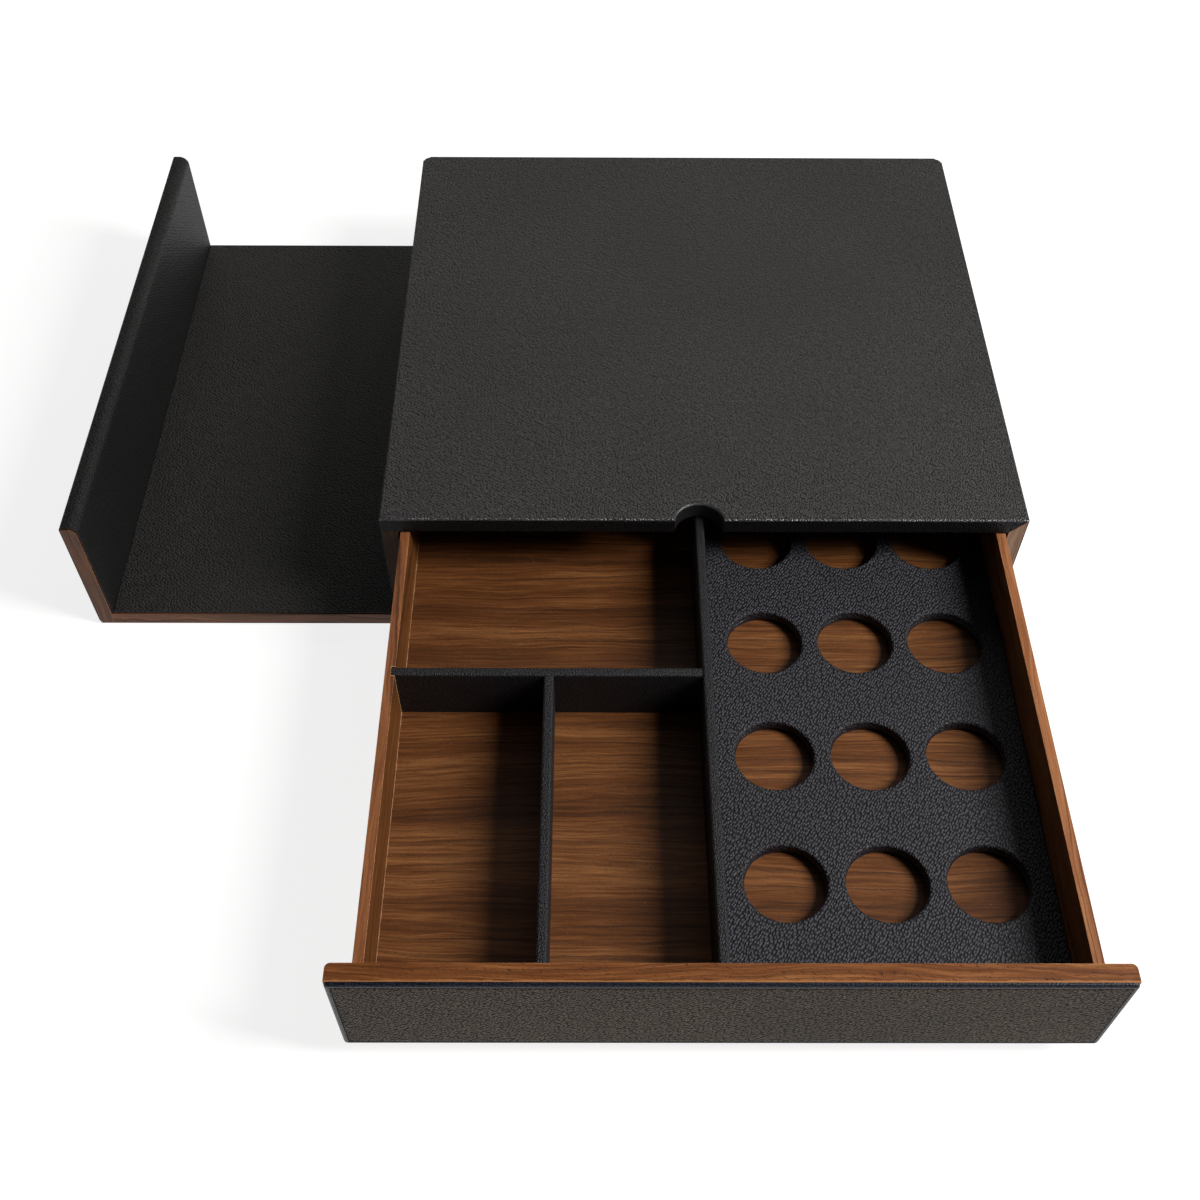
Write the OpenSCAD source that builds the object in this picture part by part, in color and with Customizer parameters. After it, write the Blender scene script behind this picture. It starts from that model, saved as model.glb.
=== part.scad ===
// Coffee pod drawer: a leather-covered walnut case, a drawer with compartments and a pod plate,
// and an L-shaped tray that slides in under the case.
// Frame: +X to the right, +Y to the back, +Z up. The origin is on the table, under the case's middle.
// The drawer and the tray are drawn pulled out.

/* [Case] */
// Outside width of the case
case_w = 350; // [330:1:420]
// Outside depth of the case
case_d = 325; // [315:1:370]
// Height of the case's top above the table
case_h = 83.5; // [81:0.5:100]
// Thickness of the top and side boards
board_t = 8.6; // [7:0.1:11]
// Thickness of the back board
back_t = 6; // [4:0.5:9]
// Thickness of the bottom board that carries the runners
bottom_t = 6; // [5:0.5:8]
// Thickness of every leather sheet
skin_t = 1; // [0.6:0.1:1.4]
// Plan radius of the two back corners
corner_r = 4.5; // [2.5:0.5:8]
// Radius of the finger notch in the top's front edge
notch_r = 13.2; // [9:0.1:18]
// Distance of the finger notch's centre in front of the case's front
notch_set = 1.8; // [0:0.1:4]
// Place of the finger notch, from the case's middle
notch_x = -2.6; // [-20:0.1:20]
// Setback of the bottom board behind the case's front
bottom_setback = 2; // [1:0.5:6]
// Thickness of the felt strip under the right side
foot_t = 0.8; // [0.5:0.1:1.5]
// Height at which the right side's leather starts
leather_start = 2; // [1.5:0.5:4]

/* [Drawer] */
// Distance from the case's front to the back of the drawer front, as drawn
drawer_open = 250.2; // [60:0.1:255]
// The same distance when the drawer is shut
shut_gap = 0.5; // [0.4:0.1:2]
// Thickness of the drawer front's board
front_t = 8.5; // [7:0.5:12]
// Thickness of the raised leather panel on the drawer front
facing_t = 2; // [1:0.1:3]
// Setback of the leather panel from the board's edges
facing_inset = 0.2; // [0.2:0.1:2]
// Setback of the drawer front from each side of the case
front_inset = 1.2; // [0.5:0.1:3]
// Drop of the drawer front below the case's top
front_drop = 0.5; // [0.5:0.1:4]
// Height of the drawer front's lower edge above the case's underside
front_lift = 4.2; // [4:0.1:6]
// Plan radius of the drawer front's back corners
front_r = 2.5; // [1:0.5:4]
// Corner radius of the leather panel, seen from the front
facing_r = 2; // [1:0.5:5]
// Thickness of the drawer's sides and back
drawer_t = 5; // [4:0.5:6]
// Gap between the drawer and each side of the case
side_gap = 1.4; // [0.8:0.1:3]
// Gap between the drawer's sides and the case's top board
top_gap = 1.3; // [0.8:0.1:4]
// Gap between the drawer's sides and the bottom board
side_lift = 2.6; // [1:0.1:4]
// Thickness of the drawer floor
floor_t = 5; // [4:0.5:6]
// Depth of the grooves that hold the floor
groove_d = 2; // [1:0.5:3]
// Thickness of the stop pads on the back board
stop_t = 1.5; // [1:0.5:3]
// Running clearance between the moving bodies
run_gap = 0.3; // [0.3:0.1:0.6]

/* [Dividers] */
// Thickness of the boards inside the dividers
core_t = 3.2; // [2.5:0.1:4]
// Middle of the long divider, from the case's middle
long_x = -1.8; // [-10:0.1:2]
// Middle of the cross divider, behind the drawer front
cross_y = 159; // [120:1:200]
// Depth of the housing that takes the cross divider
housing_d = 2; // [1:0.5:3]
// Radius of the dividers' top arrises
divider_r = 1.2; // [0.5:0.1:1.4]

/* [Pod plate] */
// Thickness of the plate's board
plate_t = 7; // [5:0.5:12]
// Inside radius of the pod recesses
pod_r = 19.7; // [16:0.1:20.5]
// Distance between columns of recesses
pod_pitch_x = 48.2; // [44:0.1:50]
// Middle of the first row, behind the drawer front
pod_first_y = 55.6; // [30:0.1:58]
// Middle of the last row, in front of the drawer's back
pod_last_y = 44.6; // [30:0.1:50]
// Gap round the plate
plate_gap = 0.3; // [0.2:0.1:0.8]

/* [Tray] */
// Thickness of the tray's floor board
tray_t = 8.4; // [6:0.1:10]
// Thickness of the felt under the tray
felt_t = 0.8; // [0.5:0.1:1.5]
// Gap between the tray and the case above it
tray_gap = 1.2; // [0.8:0.1:2]
// Thickness of the upright's board
upright_t = 7.9; // [6:0.1:10]
// Radius of the upright's inner top corner
upright_r = 5.5; // [3:0.5:6]
// Radius of the upright's outer top and bottom corners
upright_out_r = 2; // [1.5:0.5:3]
// How far the tray stands in front of the case
tray_lip = 7.5; // [0:0.5:9]
// Setback of the leather from the tray's front and back edges
leather_setback = 0.8; // [0.3:0.1:2]
// Gap between the upright and the case when the tray is in
tray_shut_gap = 0.4; // [0.3:0.1:1]
// Distance of the guide slots from the case's front and back
slot_inset = 36; // [25:1:60]
// Width of the guide slots
slot_w = 7; // [6:0.1:9]
// How far inside the case the slots start
slot_hide = 5.2; // [3:0.1:10]
// Width of the rail at the tray's far end
end_rail_w = 9; // [7:0.5:14]
// Gap between that rail and the right side when the tray is in
end_gap = 0.6; // [0.4:0.1:2]
// Gap between a guide pin and its slot
pin_gap = 0.3; // [0.3:0.1:0.6]
// Radius of the guide pins' heads
pin_head_r = 5.6; // [5:0.1:6.5]
// Thickness of the guide pins' heads
pin_head_t = 1.8; // [1.2:0.1:2.4]
// Radius of the guide pins' threaded ends
pin_thread_r = 2; // [1.5:0.1:2.5]
// Space over and under the guide pins' heads
pin_head_play = 0.5; // [0.3:0.1:0.8]
// How far the screws through the upright run into the tray's floor
tray_screw_bite = 20; // [10:1:40]
// Width of the glide strips
glide_w = 12; // [8:1:16]
// Thickness of the glide strips
glide_t = 0.8; // [0.3:0.1:0.9]
// Distance of the glide strips from the case's front and back
glide_inset = 8; // [4:1:12]

/* [Runners] */
// Height of a runner, which is the space under the drawer floor
runner_h = 16.6; // [16:0.1:20]
// Thickness of the runners' steel
steel_t = 1.2; // [1:0.1:1.4]
// Distance of a runner from the drawer's side
runner_inset = 4; // [2:0.5:10]
// Setback of the runner's fixed member behind the case's front
runner_setback = 3; // [3:0.5:8]
// Diameter of the balls
ball_d = 3.2; // [2.8:0.1:3.4]
// Number of balls in each row
balls = 8; // [4:1:8]
// Distance between balls
ball_pitch = 6.6; // [4.5:0.1:6.8]
// Gap between a ball cage and the runner's outer web
cage_gap = 0.4; // [0.3:0.1:0.5]
// Thickness of the ball cages
cage_t = 0.8; // [0.6:0.1:1]
// Radius of the wood screws' shanks
screw_r = 1.3; // [1:0.1:1.6]
// Distance of a runner's end screws from its ends
screw_margin = 20; // [12:1:30]
// How far the front's screws run into the drawer's sides
front_screw_bite = 12; // [8:1:25]

/* [Hidden] */

$fn = 64;
cut = 0.5;
pod_columns = 3;
pod_rows = 4;

// Case
left_x = -case_w / 2;
right_x = case_w / 2;
front_y = -case_d / 2;
back_y = case_d / 2;
in_left = left_x + skin_t + board_t;
in_right = right_x - skin_t - board_t;
board_top = case_h - skin_t;
top_under = board_top - board_t;
in_back = back_y - skin_t - back_t;

// Tray heights, and the case's underside above them
tray_board_top = felt_t + tray_t;
tray_top = tray_board_top + skin_t;
case_under = tray_top + tray_gap;
bottom_top = case_under + bottom_t;

// Drawer
box_front = front_y - drawer_open;
box_shut_back = in_back - stop_t - run_gap;
box_len = box_shut_back - front_y + shut_gap;
box_back = box_front + box_len;
box_left = in_left + side_gap;
box_right = in_right - side_gap;
bay_left = box_left + drawer_t;
bay_right = box_right - drawer_t;
bay_back = box_back - drawer_t;
box_under = bottom_top + side_lift;
box_top = top_under - top_gap;
floor_under = bottom_top + runner_h;
floor_top = floor_under + floor_t;
front_top = case_h - front_drop;
front_under = case_under + front_lift;
front_h = front_top - front_under;
front_w = case_w - 2 * front_inset;

// Dividers
divider_t = core_t + 2 * skin_t;
long_left = long_x - divider_t / 2;
long_right = long_x + divider_t / 2;
short_x = (bay_left + long_left) / 2;
cross_front = box_front + cross_y - divider_t / 2;

// Pod plate
plate_left = long_right + plate_gap;
plate_right = bay_right - plate_gap;
plate_front = box_front + plate_gap;
plate_back = bay_back - plate_gap;
plate_top = floor_top + plate_t;
pod_pitch_y = (bay_back - box_front - pod_first_y - pod_last_y) / (pod_rows - 1);
pod_mid_x = (plate_left + plate_right) / 2;

// Tray: its slots run from under the left side, and the pins stop it at both ends
pin_r = slot_w / 2 - pin_gap;
slot_left = left_x + slot_hide;
tray_travel = (in_right - end_gap - end_rail_w - slot_w - slot_left) / 2;
slot_right = slot_left + tray_travel + slot_w;
pin_x = slot_right - slot_w / 2;
tray_end = slot_right + end_rail_w;
tray_front = front_y - tray_lip;
tray_depth = back_y - tray_front;
upright_in = left_x - tray_shut_gap - tray_travel;
upright_board_in = upright_in - skin_t;
upright_out = upright_board_in - upright_t - skin_t;
slot_ys = [front_y + slot_inset, back_y - slot_inset];
pin_head_z = felt_t + pin_head_play;
pin_shoulder_z = pin_head_z + pin_head_t;
rebate_w = pin_head_r + pin_gap - slot_w / 2;
rebate_z = pin_shoulder_z + pin_head_play;

// Runners, measured from the outer web of the left one
rail_left = bay_left + runner_inset;
lip_w = 8;
foot_w = 21;
web_u = 9;
race_reach = 2;
cage_reach = 2.6;
member_inset = 1;
flange_w = 11;
ball_u = 5;
ball_play = 0.05;
ball_lower_z = bottom_top + steel_t + ball_play + ball_d / 2;
rail_lower_z = ball_lower_z + ball_d / 2 + ball_play;
rail_channel_h = 6;
rail_upper_z = rail_lower_z + rail_channel_h;
ball_upper_z = rail_upper_z + ball_play + ball_d / 2;
channel_top = ball_upper_z + ball_d / 2 + ball_play + steel_t;
case_member_front = front_y + runner_setback;
case_member_back = in_back - runner_setback;
drawer_member_front = box_front + member_inset;
drawer_member_back = box_back - member_inset;
cage_y = (case_member_front + drawer_member_back) / 2;
cage_len = balls * ball_pitch;
cage_clear = 0.02;
case_screw_u = 16;
drawer_screw_u = web_u + flange_w / 2;
screw_head_r = 2 * screw_r;

// Shapes used by several pieces

// A block between two corners
module block(low, high) {
    translate(low) cube(high - low);
}

// The case's plan, set in from the outside by inset, with its two back corners rounded
module case_plan(inset) {
    r = corner_r - inset;
    difference() {
        translate([left_x + inset, front_y]) square([case_w - 2 * inset, case_d - inset]);
        for (side = [-1, 1]) {
            translate([side * (right_x - corner_r), back_y - corner_r]) difference() {
                translate([min(side * (r + cut), 0), 0]) square(r + cut);
                circle(r);
            }
        }
    }
}

// A stretch of the case's outline, as tall as low to high
module case_body(inset, low, high) {
    translate([0, 0, low]) linear_extrude(high - low) case_plan(inset);
}

// An outline in X and Z, drawn out along Y from one place to another
module along_y(from, to) {
    translate([0, to, 0]) rotate([90, 0, 0]) linear_extrude(to - from) children();
}

// A rectangle with a radius at each corner: bottom left, bottom right, top right, top left
module soft_rect(w, h, r) {
    difference() {
        square([w, h]);
        translate([0, 0]) corner_trim(r[0]);
        translate([w, 0]) rotate(90) corner_trim(r[1]);
        translate([w, h]) rotate(180) corner_trim(r[2]);
        translate([0, h]) rotate(270) corner_trim(r[3]);
    }
}

module corner_trim(r) {
    if (r > 0) {
        difference() {
            translate([-cut, -cut]) square(r + cut);
            translate([r, r]) circle(r);
        }
    }
}

// A countersunk screw with its head's face at the origin, running down -Z
module screw(r, head_r, len) {
    head_h = head_r - r;
    translate([0, 0, -head_h]) cylinder(h = head_h, r1 = r, r2 = head_r);
    translate([0, 0, -len]) cylinder(h = len - head_h, r = r);
}

// The right-hand twin of a left-hand piece
module to_right() {
    mirror([1, 0, 0]) children();
}

// Case

// The leather turned down over the top's front edge. It is cut off at a mitre on the right.
module turn_in_outline() {
    polygon([[left_x, top_under], [in_right, top_under], [right_x, case_h], [left_x, case_h]]);
}

module turn_in() {
    along_y(front_y, front_y + skin_t) turn_in_outline();
}

module notch(r, low, high) {
    translate([notch_x, front_y - notch_set, low]) cylinder(h = high - low, r = r);
}

module case_top_panel() {
    color("#5a3a24") difference() {
        intersection() {
            case_body(skin_t, top_under, board_top);
            along_y(front_y + skin_t, back_y) polygon([
                [left_x + skin_t, board_top], [in_left, top_under],
                [in_right, top_under], [right_x - skin_t, board_top]
            ]);
        }
        notch(notch_r + skin_t, top_under - cut, case_h);
    }
}

// A side board, mitred at its top, from under to the top
module side_board(under) {
    intersection() {
        case_body(skin_t, under, board_top);
        along_y(front_y, back_y) polygon([
            [left_x + skin_t, under], [in_left, under],
            [in_left, top_under], [left_x + skin_t, board_top]
        ]);
    }
}

module case_left_side() {
    color("#6b452b") difference() {
        side_board(case_under);
        turn_in();
    }
}

module case_right_side() {
    color("#6b452b") to_right() side_board(foot_t);
}

module case_back_panel() {
    color("#5a3a24") block([in_left, in_back, case_under], [in_right, back_y - skin_t, top_under]);
}

module case_bottom_panel() {
    color("#7a5a3c") difference() {
        block([in_left, front_y + bottom_setback, case_under], [in_right, in_back, bottom_top]);
        tray_guide_pins();
        runner_case_screws();
    }
}

// The leather round the case's walls, between two heights
module wall_leather(low) {
    difference() {
        case_body(0, low, board_top);
        case_body(skin_t, low - cut, board_top + cut);
    }
}

module case_top_leather() {
    color("#2b2a29") difference() {
        union() {
            case_body(0, board_top, case_h);
            turn_in();
            difference() {
                notch(notch_r + skin_t, top_under, board_top);
                block([left_x, front_y - case_d, 0], [right_x, front_y, case_h]);
            }
        }
        notch(notch_r, top_under - cut, case_h + cut);
    }
}

module case_left_leather() {
    color("#232221") difference() {
        intersection() {
            wall_leather(case_under);
            block([left_x, front_y, 0], [left_x + corner_r, back_y, case_h]);
        }
        turn_in();
    }
}

module case_right_leather() {
    color("#232221") intersection() {
        wall_leather(leather_start);
        block([right_x - corner_r, front_y, 0], [right_x, back_y, case_h]);
    }
}

module case_back_leather() {
    color("#232221") intersection() {
        wall_leather(case_under);
        block([left_x + corner_r, front_y, 0], [right_x - corner_r, back_y, case_h]);
    }
}

module case_foot_strip() {
    color("#1a1a1a")
        block([in_right, front_y + bottom_setback, 0], [right_x - skin_t, back_y - corner_r, foot_t]);
}

module glide_strips() {
    for (y = [front_y + glide_inset, back_y - glide_inset - glide_w]) {
        color("#d8d4c8")
            block([in_left + cut, y, case_under - glide_t], [in_right - cut, y + glide_w, case_under]);
    }
}

module tray_guide_pins() {
    for (y = slot_ys) {
        color("#9a9a98") translate([pin_x, y, 0]) {
            translate([0, 0, pin_head_z]) cylinder(h = pin_head_t, r = pin_head_r);
            translate([0, 0, pin_shoulder_z]) cylinder(h = case_under - pin_shoulder_z, r = pin_r);
            translate([0, 0, case_under]) cylinder(h = 0.8 * bottom_t, r = pin_thread_r);
        }
    }
}

module drawer_stop_pads() {
    pad_r = 6;
    pad_z = (floor_top + box_top) / 2;
    for (x = [box_left + 3 * pad_r, box_right - 3 * pad_r]) {
        color("#1a1a1a") translate([x, in_back, pad_z]) rotate([90, 0, 0]) cylinder(h = stop_t, r = pad_r);
    }
}

// Runners: a fixed member on the bottom board, a member under the drawer, and a ball cage between them

// Places along a member of its three screws
function screw_ys(from, to) = [from + screw_margin, (from + to) / 2, to - screw_margin];

module case_member() {
    color("#a8a9ab") difference() {
        translate([rail_left, 0, 0]) {
            block([0, case_member_front, bottom_top], [steel_t, case_member_back, channel_top]);
            block([0, case_member_front, bottom_top], [foot_w, case_member_back, bottom_top + steel_t]);
            block([0, case_member_front, channel_top - steel_t], [lip_w, case_member_back, channel_top]);
        }
        case_screws();
    }
}

module case_screws() {
    for (y = screw_ys(case_member_front, case_member_back)) {
        translate([rail_left + case_screw_u, y, bottom_top + steel_t]) screw(screw_r, screw_head_r, bottom_t);
    }
}

module drawer_member() {
    color("#a8a9ab") difference() {
        translate([rail_left + web_u, 0, 0]) {
            block([0, drawer_member_front, rail_lower_z], [steel_t, drawer_member_back, floor_under]);
            block([ball_u - race_reach - web_u, drawer_member_front, rail_lower_z],
                  [steel_t, drawer_member_back, rail_lower_z + steel_t]);
            block([ball_u - race_reach - web_u, drawer_member_front, rail_upper_z - steel_t],
                  [steel_t, drawer_member_back, rail_upper_z]);
            block([0, drawer_member_front, floor_under - steel_t],
                  [flange_w, drawer_member_back, floor_under]);
        }
        drawer_screws();
    }
}

module drawer_screws() {
    for (y = screw_ys(drawer_member_front, drawer_member_back)) {
        translate([rail_left + drawer_screw_u, y, floor_under - steel_t]) rotate([180, 0, 0])
            screw(screw_r, screw_head_r, floor_t);
    }
}

// Calls its children once for each ball's place
module at_balls() {
    for (i = [0 : balls - 1], z = [ball_lower_z, ball_upper_z]) {
        translate([rail_left + ball_u, cage_y + (i - (balls - 1) / 2) * ball_pitch, z]) children();
    }
}

module ball_cage() {
    from = cage_y - cage_len / 2;
    to = cage_y + cage_len / 2;
    web = rail_left + steel_t + cage_gap;
    color("#c9c2a8") difference() {
        union() {
            block([web, from, ball_lower_z - cage_t / 2], [web + cage_t, to, ball_upper_z + cage_t / 2]);
            for (z = [ball_lower_z, ball_upper_z]) {
                block([web, from, z - cage_t / 2], [rail_left + ball_u + cage_reach, to, z + cage_t / 2]);
            }
        }
        at_balls() cylinder(h = 2 * cage_t, r = ball_d / 2 + cage_clear, center = true);
    }
}

module ball_set() {
    color("#d6d7d9") at_balls() sphere(d = ball_d, $fn = 32);
}

module runner_left_case_member() {
    case_member();
}

module runner_right_case_member() {
    to_right() case_member();
}

module runner_case_screws() {
    color("#8f8f90") {
        case_screws();
        to_right() case_screws();
    }
}

module runner_left_cage() {
    ball_cage();
}

module runner_left_balls() {
    ball_set();
}

module runner_right_cage() {
    to_right() ball_cage();
}

module runner_right_balls() {
    to_right() ball_set();
}

module runner_left_drawer_member() {
    drawer_member();
}

module runner_right_drawer_member() {
    to_right() drawer_member();
}

module runner_drawer_screws() {
    color("#8f8f90") {
        drawer_screws();
        to_right() drawer_screws();
    }
}

// Drawer

module drawer_front_board() {
    color("#7a4c2c") difference() {
        translate([-front_w / 2, box_front - front_t, front_under]) linear_extrude(front_h)
            soft_rect(front_w, front_t, [0, 0, front_r, front_r]);
        drawer_front_screws();
    }
}

module drawer_front_facing() {
    w = front_w - 2 * facing_inset;
    h = front_h - 2 * facing_inset;
    color("#4a4038") along_y(box_front - front_t - facing_t, box_front - front_t)
        translate([-w / 2, front_under + facing_inset]) soft_rect(w, h, facing_r * [1, 1, 1, 1]);
}

// Each screw runs through the front board into the end of a side, under or over the floor's groove
module drawer_front_screws() {
    end_x = (box_right + bay_right) / 2;
    low_z = (box_under + floor_under) / 2;
    high_z = (floor_top + 2 * box_top) / 3;
    len = front_t + front_screw_bite;
    for (x = [-end_x, end_x], z = [low_z, high_z]) {
        color("#8f8f90") translate([x, box_front - front_t, z]) rotate([90, 0, 0])
            screw(screw_r, screw_head_r, len);
    }
}

module drawer_side() {
    difference() {
        block([box_left, box_front, box_under], [bay_left, box_back, box_top]);
        drawer_floor();
        drawer_front_screws();
    }
}

module drawer_left_side() {
    color("#6b452b") difference() {
        drawer_side();
        block([bay_left - housing_d, cross_front, floor_top],
              [bay_left + cut, cross_front + divider_t, box_top + cut]);
    }
}

module drawer_right_side() {
    color("#6b452b") to_right() drawer_side();
}

module drawer_back() {
    color("#5f3d26") block([bay_left, bay_back, floor_top], [bay_right, box_back, box_top]);
}

module drawer_floor() {
    color("#54351f") difference() {
        block([bay_left - groove_d, box_front, floor_under], [bay_right + groove_d, box_back, floor_top]);
        runner_drawer_screws();
    }
}

// Outline of a divider across its thickness, without or with its leather
module divider_outline(skin) {
    h = box_top - floor_top - skin_t + skin;
    r = skin > 0 ? divider_r : 0;
    translate([-core_t / 2 - skin, floor_top]) soft_rect(core_t + 2 * skin, h, [0, 0, r, r]);
}

module divider_leather_outline() {
    difference() {
        divider_outline(skin_t);
        divider_outline(0);
    }
}

module place_long() {
    translate([long_x, 0, 0]) along_y(box_front, bay_back) children();
}

module place_short() {
    translate([short_x, 0, 0]) along_y(box_front, cross_front) children();
}

// The cross divider runs from its housing in the left side to the long divider
module place_cross() {
    translate([0, cross_front + divider_t / 2, 0]) rotate([0, 0, -90])
        along_y(bay_left - housing_d, long_left) children();
}

module long_divider_core() {
    color("#3a2a1e") place_long() divider_outline(0);
}

module long_divider_leather() {
    color("#2c2c2e") place_long() divider_leather_outline();
}

module cross_divider_core() {
    color("#3a2a1e") place_cross() divider_outline(0);
}

module cross_divider_leather() {
    color("#2c2c2e") place_cross() divider_leather_outline();
}

module short_divider_core() {
    color("#3a2a1e") place_short() divider_outline(0);
}

module short_divider_leather() {
    color("#2c2c2e") place_short() divider_leather_outline();
}

// Calls its children at the middle of each pod recess
module at_pods() {
    for (i = [0 : pod_columns - 1], j = [0 : pod_rows - 1]) {
        translate([pod_mid_x + (i - (pod_columns - 1) / 2) * pod_pitch_x,
                   box_front + pod_first_y + j * pod_pitch_y, 0]) children();
    }
}

module pod_plate_board() {
    color("#3a2a1e") difference() {
        block([plate_left, plate_front, floor_top], [plate_right, plate_back, plate_top]);
        at_pods() translate([0, 0, floor_top - cut])
            cylinder(h = plate_t + 2 * cut, r = pod_r + skin_t);
    }
}

module pod_plate_leather() {
    color("#2c2c2e") difference() {
        union() {
            block([plate_left, plate_front, plate_top], [plate_right, plate_back, plate_top + skin_t]);
            at_pods() translate([0, 0, floor_top]) cylinder(h = plate_t + skin_t, r = pod_r + skin_t);
        }
        at_pods() translate([0, 0, floor_top - cut])
            cylinder(h = plate_t + skin_t + 2 * cut, r = pod_r);
    }
}

// Tray

module tray_block(x_from, x_to, y_from, y_to, top) {
    block([x_from, y_from, felt_t], [x_to, y_to, top]);
}

module tray_floor_board() {
    color("#5f3d26") difference() {
        tray_block(upright_board_in, slot_left, tray_front, back_y, tray_board_top);
        tray_joint_screws();
        rebates();
    }
}

module tray_floor_leather() {
    color("#1f1e1e") block([upright_in, tray_front + leather_setback, tray_board_top],
                           [slot_left, back_y - leather_setback, tray_top]);
}

// The upright's outline from the front, with its leather or without
module upright_outline(skin) {
    inner_r = max(upright_r - skin_t + skin, 0);
    outer_r = max(upright_out_r - skin_t + skin, 0);
    translate([upright_board_in - upright_t - skin, felt_t])
        soft_rect(upright_t + 2 * skin, board_top - felt_t + skin, [outer_r, 0, inner_r, outer_r]);
}

module tray_upright_board() {
    color("#6b452b") difference() {
        along_y(tray_front, back_y) upright_outline(0);
        tray_joint_screws();
    }
}

// The leather covers the outside, the top and the inside down to the tray's floor
module tray_upright_leather() {
    color("#232221") difference() {
        along_y(tray_front + leather_setback, back_y - leather_setback) difference() {
            upright_outline(skin_t);
            upright_outline(0);
        }
        block([upright_board_in, tray_front, 0], [upright_in + cut, back_y, tray_board_top]);
    }
}

module tray_front_rail() {
    color("#7a5a3c") difference() {
        tray_block(slot_left, slot_right, tray_front, slot_ys[0] - slot_w / 2, tray_top);
        rebates();
    }
}

module tray_back_rail() {
    color("#7a5a3c") difference() {
        tray_block(slot_left, slot_right, slot_ys[1] + slot_w / 2, back_y, tray_top);
        rebates();
    }
}

module tray_middle_board() {
    color("#7a5a3c") difference() {
        tray_block(slot_left, slot_right, slot_ys[0] + slot_w / 2, slot_ys[1] - slot_w / 2, tray_top);
        rebates();
    }
}

module tray_end_rail() {
    color("#7a5a3c") difference() {
        tray_block(slot_right, tray_end, tray_front, back_y, tray_top);
        rebates();
    }
}

// Room under the slots' edges for the heads of the guide pins
module rebates() {
    for (y = slot_ys) {
        half_w = slot_w / 2 + rebate_w;
        block([slot_left - rebate_w, y - half_w, -cut],
              [slot_right + rebate_w, y + half_w, rebate_z]);
    }
}

module tray_base_felt() {
    color("#1a1a1a") difference() {
        block([upright_board_in, tray_front + leather_setback, 0],
              [tray_end, back_y - leather_setback, felt_t]);
        rebates();
    }
}

module tray_joint_screws() {
    count = 4;
    step = tray_depth / count;
    for (i = [0 : count - 1]) {
        y = tray_front + (i + 0.5) * step;
        color("#8f8f90") translate([upright_board_in - upright_t, y, felt_t + tray_t / 2])
            rotate([0, -90, 0]) screw(screw_r, screw_head_r, upright_t + tray_screw_bite);
    }
}

case_top_panel();
case_left_side();
case_right_side();
case_back_panel();
case_bottom_panel();
case_top_leather();
case_left_leather();
case_right_leather();
case_back_leather();
case_foot_strip();
glide_strips();
tray_guide_pins();
drawer_stop_pads();
runner_left_case_member();
runner_right_case_member();
runner_case_screws();
runner_left_cage();
runner_left_balls();
runner_right_cage();
runner_right_balls();
drawer_front_board();
drawer_front_facing();
drawer_left_side();
drawer_right_side();
drawer_back();
drawer_floor();
long_divider_core();
long_divider_leather();
cross_divider_core();
cross_divider_leather();
short_divider_core();
short_divider_leather();
pod_plate_board();
pod_plate_leather();
runner_left_drawer_member();
runner_right_drawer_member();
runner_drawer_screws();
drawer_front_screws();
tray_floor_board();
tray_floor_leather();
tray_upright_board();
tray_upright_leather();
tray_front_rail();
tray_back_rail();
tray_middle_board();
tray_end_rail();
tray_base_felt();
tray_joint_screws();
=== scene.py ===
"""The looks of the coffee pod drawer: leather, walnut, stitches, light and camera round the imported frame."""

import bmesh
import bpy
import math
import random
from mathutils import Matrix, Vector


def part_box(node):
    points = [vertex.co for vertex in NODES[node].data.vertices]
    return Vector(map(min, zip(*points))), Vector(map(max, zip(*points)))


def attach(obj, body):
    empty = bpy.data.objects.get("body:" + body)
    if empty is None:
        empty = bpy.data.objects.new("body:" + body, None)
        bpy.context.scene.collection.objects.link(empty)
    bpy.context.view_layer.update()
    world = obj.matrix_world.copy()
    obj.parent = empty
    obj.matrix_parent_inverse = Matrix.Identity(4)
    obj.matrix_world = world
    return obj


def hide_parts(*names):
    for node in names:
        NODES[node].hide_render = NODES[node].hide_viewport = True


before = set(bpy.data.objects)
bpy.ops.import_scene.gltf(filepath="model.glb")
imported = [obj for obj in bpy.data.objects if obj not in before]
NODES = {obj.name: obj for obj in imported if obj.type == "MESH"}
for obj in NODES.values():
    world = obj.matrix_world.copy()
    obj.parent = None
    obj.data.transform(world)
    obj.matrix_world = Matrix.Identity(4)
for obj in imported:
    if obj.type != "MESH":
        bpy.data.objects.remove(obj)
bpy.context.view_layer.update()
LOOKS = {}
MM = 0.001


# ---------------------------------------------------------------- shader building


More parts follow.
